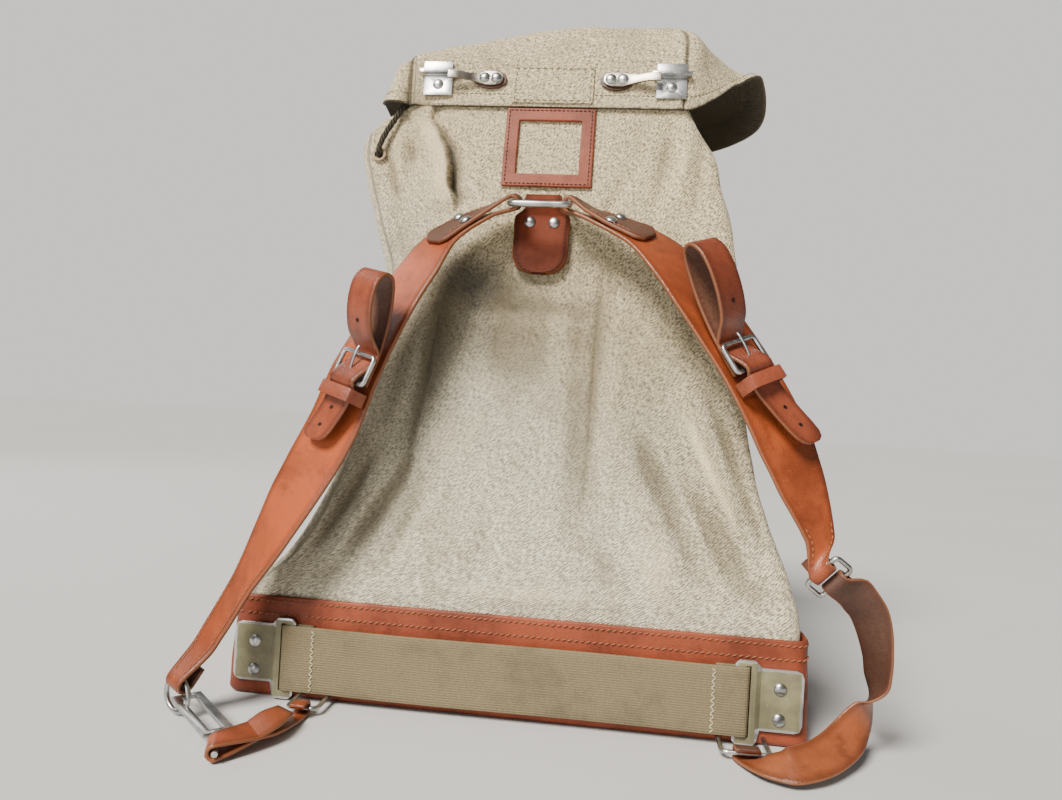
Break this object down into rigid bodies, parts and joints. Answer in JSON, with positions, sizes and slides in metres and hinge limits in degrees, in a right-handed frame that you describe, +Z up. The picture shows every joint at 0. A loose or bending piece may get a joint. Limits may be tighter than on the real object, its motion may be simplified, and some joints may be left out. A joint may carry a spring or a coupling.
{
  "type": "military rucksack",
  "caption": "Army mountain rucksack of salt-and-pepper canvas with a leather base, leather shoulder straps, a webbing lumbar band and a canvas lid over the mouth.",
  "frame": {"origin": "middle of the underside of the leather base", "axes": "+Z up, -Y towards the harness side with the shoulder straps, +X to the right when facing the harness side"},
  "size_m": [0.4682, 0.3185, 0.5244],
  "materials": {
    "canvas": "matt salt-and-pepper twill",
    "base_leather": "satin, worn, reddish brown",
    "strap_leather": "satin, worn, orange tan",
    "loop_leather": "satin, worn, red brown",
    "webbing": "matt ribbed webbing",
    "cord": "dark twisted cord",
    "plate_paint": "satin olive paint",
    "steel": "plated, slightly worn"
  },
  "bodies": {
    "root": {"sack": "canvas", "lid": "canvas", "lid_patch": "canvas", "leather_base": "base_leather", "window_frame": "base_leather", "ring_tab": "base_leather", "clasp_backing_left": "base_leather", "clasp_backing_right": "base_leather", "shoulder_strap_left": "strap_leather", "shoulder_strap_right": "strap_leather", "lower_strap_right": "strap_leather", "hook_tab_left": "strap_leather", "loop_strap_left": "loop_leather", "loop_strap_right": "loop_leather", "loop_keeper_left": "loop_leather", "loop_keeper_right": "loop_leather", "lumbar_webbing": "webbing", "drawstring": "cord", "lumbar_plate_left": "plate_paint", "lumbar_plate_right": "plate_paint", "plate_rivet_left_1": "steel", "plate_rivet_left_2": "steel", "plate_rivet_right_1": "steel", "plate_rivet_right_2": "steel", "top_ring": "steel", "tab_rivet_1": "steel", "tab_rivet_2": "steel", "strap_rivet_left_1": "steel", "strap_rivet_left_2": "steel", "strap_rivet_right_1": "steel", "strap_rivet_right_2": "steel", "buckle_frame_left": "steel", "buckle_frame_right": "steel", "buckle_prong_left": "steel", "buckle_prong_right": "steel", "clasp_plate_left": "steel", "clasp_plate_right": "steel", "clasp_arm_left": "steel", "clasp_arm_right": "steel", "clasp_rivet_left_1": "steel", "clasp_rivet_left_2": "steel", "clasp_rivet_left_3": "steel", "clasp_rivet_right_1": "steel", "clasp_rivet_right_2": "steel", "clasp_rivet_right_3": "steel", "strap_ring_left": "steel", "strap_hook_left": "steel", "strap_link_right": "steel", "base_loop_left": "steel", "base_loop_right": "steel", "eyelet_left": "steel"}
  },
  "joints": []
}
